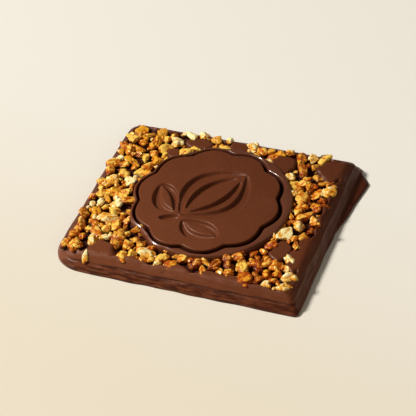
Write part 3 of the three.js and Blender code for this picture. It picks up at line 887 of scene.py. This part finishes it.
def chocolate_finish():
    """Milk chocolate: satin, faintly mottled and glossy on the ring. It is painted a little darker
    towards the back right corner as a falloff of light and sheen, painted dark as shade in the
    gaps, the groove and on the left wall under the grains, painted dark on the tongue as its
    shadow, and has drag lines along the lower front wall."""
    finish = Finish("milk_chocolate")
    gap = finish.layer("gap")
    cloud = finish.noise(pitch=9.0, detail=4.0)
    mottle = finish.noise(pitch=1.3, detail=5.0)
    # Painted light: paler towards the front left and darker towards the back right, a painted
    # falloff of light and sheen across the tablet.
    paleness = 1 - finish.along(TO_BACK_RIGHT).step(*TABLET_REACH)
    shade = paleness + 0.7 * (0.5 * cloud + 0.5 * mottle) + (-0.35)
    colour = finish.blend(shade, DARKER_CHOCOLATE, MILK_CHOCOLATE)
    below_crease = 1 - finish.along(UPWARDS).step(*ABOVE_CREASE)
    on_front = finish.along(FORWARDS).step(*FRONT_WALL)
    streaks = finish.noise(pitch=1.0, detail=5.0, place=finish.stretched(DRAG_STRETCH))
    drag = on_front * below_crease * streaks.step(low=0.38, high=0.58)
    # Painted shadow: the tongue is painted dark because the wall's shadow falls on it.
    tongue = 0.7 * finish.along(RIGHTWARDS).step(*TONGUE_ROOT)
    colour = finish.blend(drag + tongue, colour, DRAG_AND_SHADOW_CHOCOLATE)
    # Painted shade: where the gap layer is high, in the gaps between the grains, down the groove
    # and on the left wall, the chocolate is painted near black.
    colour = finish.blend(gap.step(low=0.0, high=0.7), colour, SHADED_GAP_CHOCOLATE)
    grit = finish.bump(finish.noise(pitch=0.35, detail=4.0), depth=0.03, strength=0.5)
    swell = finish.bump(finish.noise(pitch=3.2), depth=0.15, strength=0.6, under=grit)
    relief = finish.bump(streaks * below_crease, depth=0.3, strength=0.9, under=swell)
    finish.set(
        Base_Color=colour,
        Roughness=0.30 + 0.14 * mottle + 0.5 * gap,
        Specular_IOR_Level=0.22,
        Specular_Tint=(1.0, 0.86, 0.74),
        Coat_Weight=finish.layer("gloss"),
        Coat_Roughness=0.17,
        Normal=relief,
    )
    return finish.material


def grain_finish(kind):
    """Caramel glaze over puffed grain or nut: painted dark as shade in the creases and low on each
    lump, pale on the ridges and tops partly as painted highlight, a little paler towards the back
    left, and chocolate, painted as dark shade, where it sinks into the bed."""
    crease, body, ridge = GRAIN_COLOURS[kind]
    low, middle, high = SHADE_STOPS
    finish = Finish(kind + "_grain")
    gap = finish.layer("gap")
    patch = finish.noise(pitch=1.6).step(low=0.32, high=0.68)
    speck = finish.noise(pitch=0.5).step(low=0.3, high=0.7)
    paleness = 1 - finish.along(TO_FRONT_RIGHT).step(*BORDER_REACH)
    # Painted light and shade: low ridge values paint the creases dark, high ones paint the ridges
    # pale, and the lift term paints each lump paler at its top and darker low down, as if lit from
    # above.
    shade = 0.30 * finish.layer("ridge") + 0.28 * patch + 0.10 * speck + 0.14 * paleness
    shade = shade + 0.24 * finish.layer("tone") + 0.5 * finish.layer("lift") + (-0.38)
    colour = finish.blend(shade.step(low, middle), crease, body)
    colour = finish.blend(shade.step(middle, high), colour, ridge)
    # The grain's foot where it sinks into the bed: partly chocolate coating it, painted near black
    # as the gap's shade.
    sunk = gap + 0.7 * finish.noise(pitch=1.2)
    colour = finish.blend(sunk.step(low=0.55, high=1.0), colour, SHADED_GAP_CHOCOLATE)
    finish.set(
        Base_Color=colour,
        Roughness=0.32 + 0.25 * speck,
        Specular_IOR_Level=0.25,
        Specular_Tint=(1.0, 0.72, 0.42),
        Coat_Weight=0.25 * (1 - gap.step(low=0.0, high=0.6)),
        Coat_Roughness=0.12,
        Normal=finish.bump(finish.noise(pitch=0.6, detail=4.0), depth=0.11, strength=0.8),
    )
    return finish.material


def table_finish():
    """A pale cream table top, almost plain, a little warmer and darker towards the front left. The
    slight lean of that change to the right is painted light that evens out the key light's
    falloff.
    """
    finish = Finish("pale_table")
    # Painted light: the change leans to the right to even out the key light's falloff.
    distance = finish.along(INTO_THE_BACK) + 30 * finish.noise(pitch=60.0)
    colour = finish.blend(distance.step(*TABLE_REACH), TABLE_FRONT, TABLE_BACK)
    finish.set(Base_Color=colour, Roughness=0.75)
    return finish.material


# --- The object and its stage ------------------------------------------------------------------
def show(mesh, material):
    """Puts a mesh into the scene with its finish."""
    piece = bpy.data.objects.new(mesh.name, mesh)
    bpy.context.scene.collection.objects.link(piece)
    mesh.materials.append(material)
    return piece


def make_tablet():
    """The chocolate, in one piece."""
    mesh = tablet_mesh()
    mesh.shade_smooth()
    tablet = show(mesh, chocolate_finish())
    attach(tablet, "root")
    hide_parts(NODE)


def make_topping():
    """The nuts and grains, one piece for each kind. The two palest are mostly nut."""
    for kind, heap in topping_heaps().items():
        piece = show(heap.mesh(kind + "_topping"), grain_finish(kind))
        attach(piece, "root")
        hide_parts(NODE)


def make_camera():
    """The photograph's viewing angle, closer in."""
    data = bpy.data.cameras.new("camera")
    data.sensor_width = SENSOR_WIDTH
    data.lens = FOCAL_PIXELS / IMAGE_SIDE * SENSOR_WIDTH
    data.clip_start, data.clip_end = CLIP_DISTANCES
    camera = bpy.data.objects.new("camera", data)
    bpy.context.scene.collection.objects.link(camera)
    back = Vector((
        math.sin(VIEW_AZIMUTH) * math.cos(VIEW_ELEVATION),
        -math.cos(VIEW_AZIMUTH) * math.cos(VIEW_ELEVATION),
        math.sin(VIEW_ELEVATION),
    ))
    look = (-back).to_track_quat("-Z", "Y").to_matrix().to_4x4()
    roll = Matrix.Rotation(VIEW_ROLL, 4, "Z")
    camera.matrix_world = Matrix.Translation(VIEW_TARGET + back * VIEW_DISTANCE) @ look @ roll
    bpy.context.scene.camera = camera


def make_light(name, place, size, power, colour):
    """A round soft light aimed at the tablet."""
    data = bpy.data.lights.new(name, "AREA")
    data.shape = "DISK"
    data.size = size
    data.energy = power
    data.color = colour
    light = bpy.data.objects.new(name, data)
    light.location = place
    light.rotation_mode = "QUATERNION"
    light.rotation_quaternion = (-Vector(place)).to_track_quat("-Z", "Y")
    bpy.context.scene.collection.objects.link(light)
    return light


def make_stage():
    """The table, a dim even studio round it, the key light and a warm card on the right."""
    bpy.ops.mesh.primitive_plane_add(size=TABLE_SIDE, location=(0, 0, -TABLE_DROP))
    table = bpy.context.object
    table.name = "table"
    table.data.materials.append(table_finish())
    world = bpy.data.worlds.new("studio")
    world.use_nodes = True
    background = world.node_tree.nodes["Background"]
    background.inputs["Color"].default_value = STUDIO_COLOUR
    background.inputs["Strength"].default_value = STUDIO_STRENGTH
    bpy.context.scene.world = world
    make_light("key", **KEY_LIGHT)
    card = make_light("card", **CARD_LIGHT)
    card.visible_glossy = False
    bpy.context.scene.view_settings.view_transform = "Standard"


make_tablet()
make_topping()
make_camera()
make_stage()
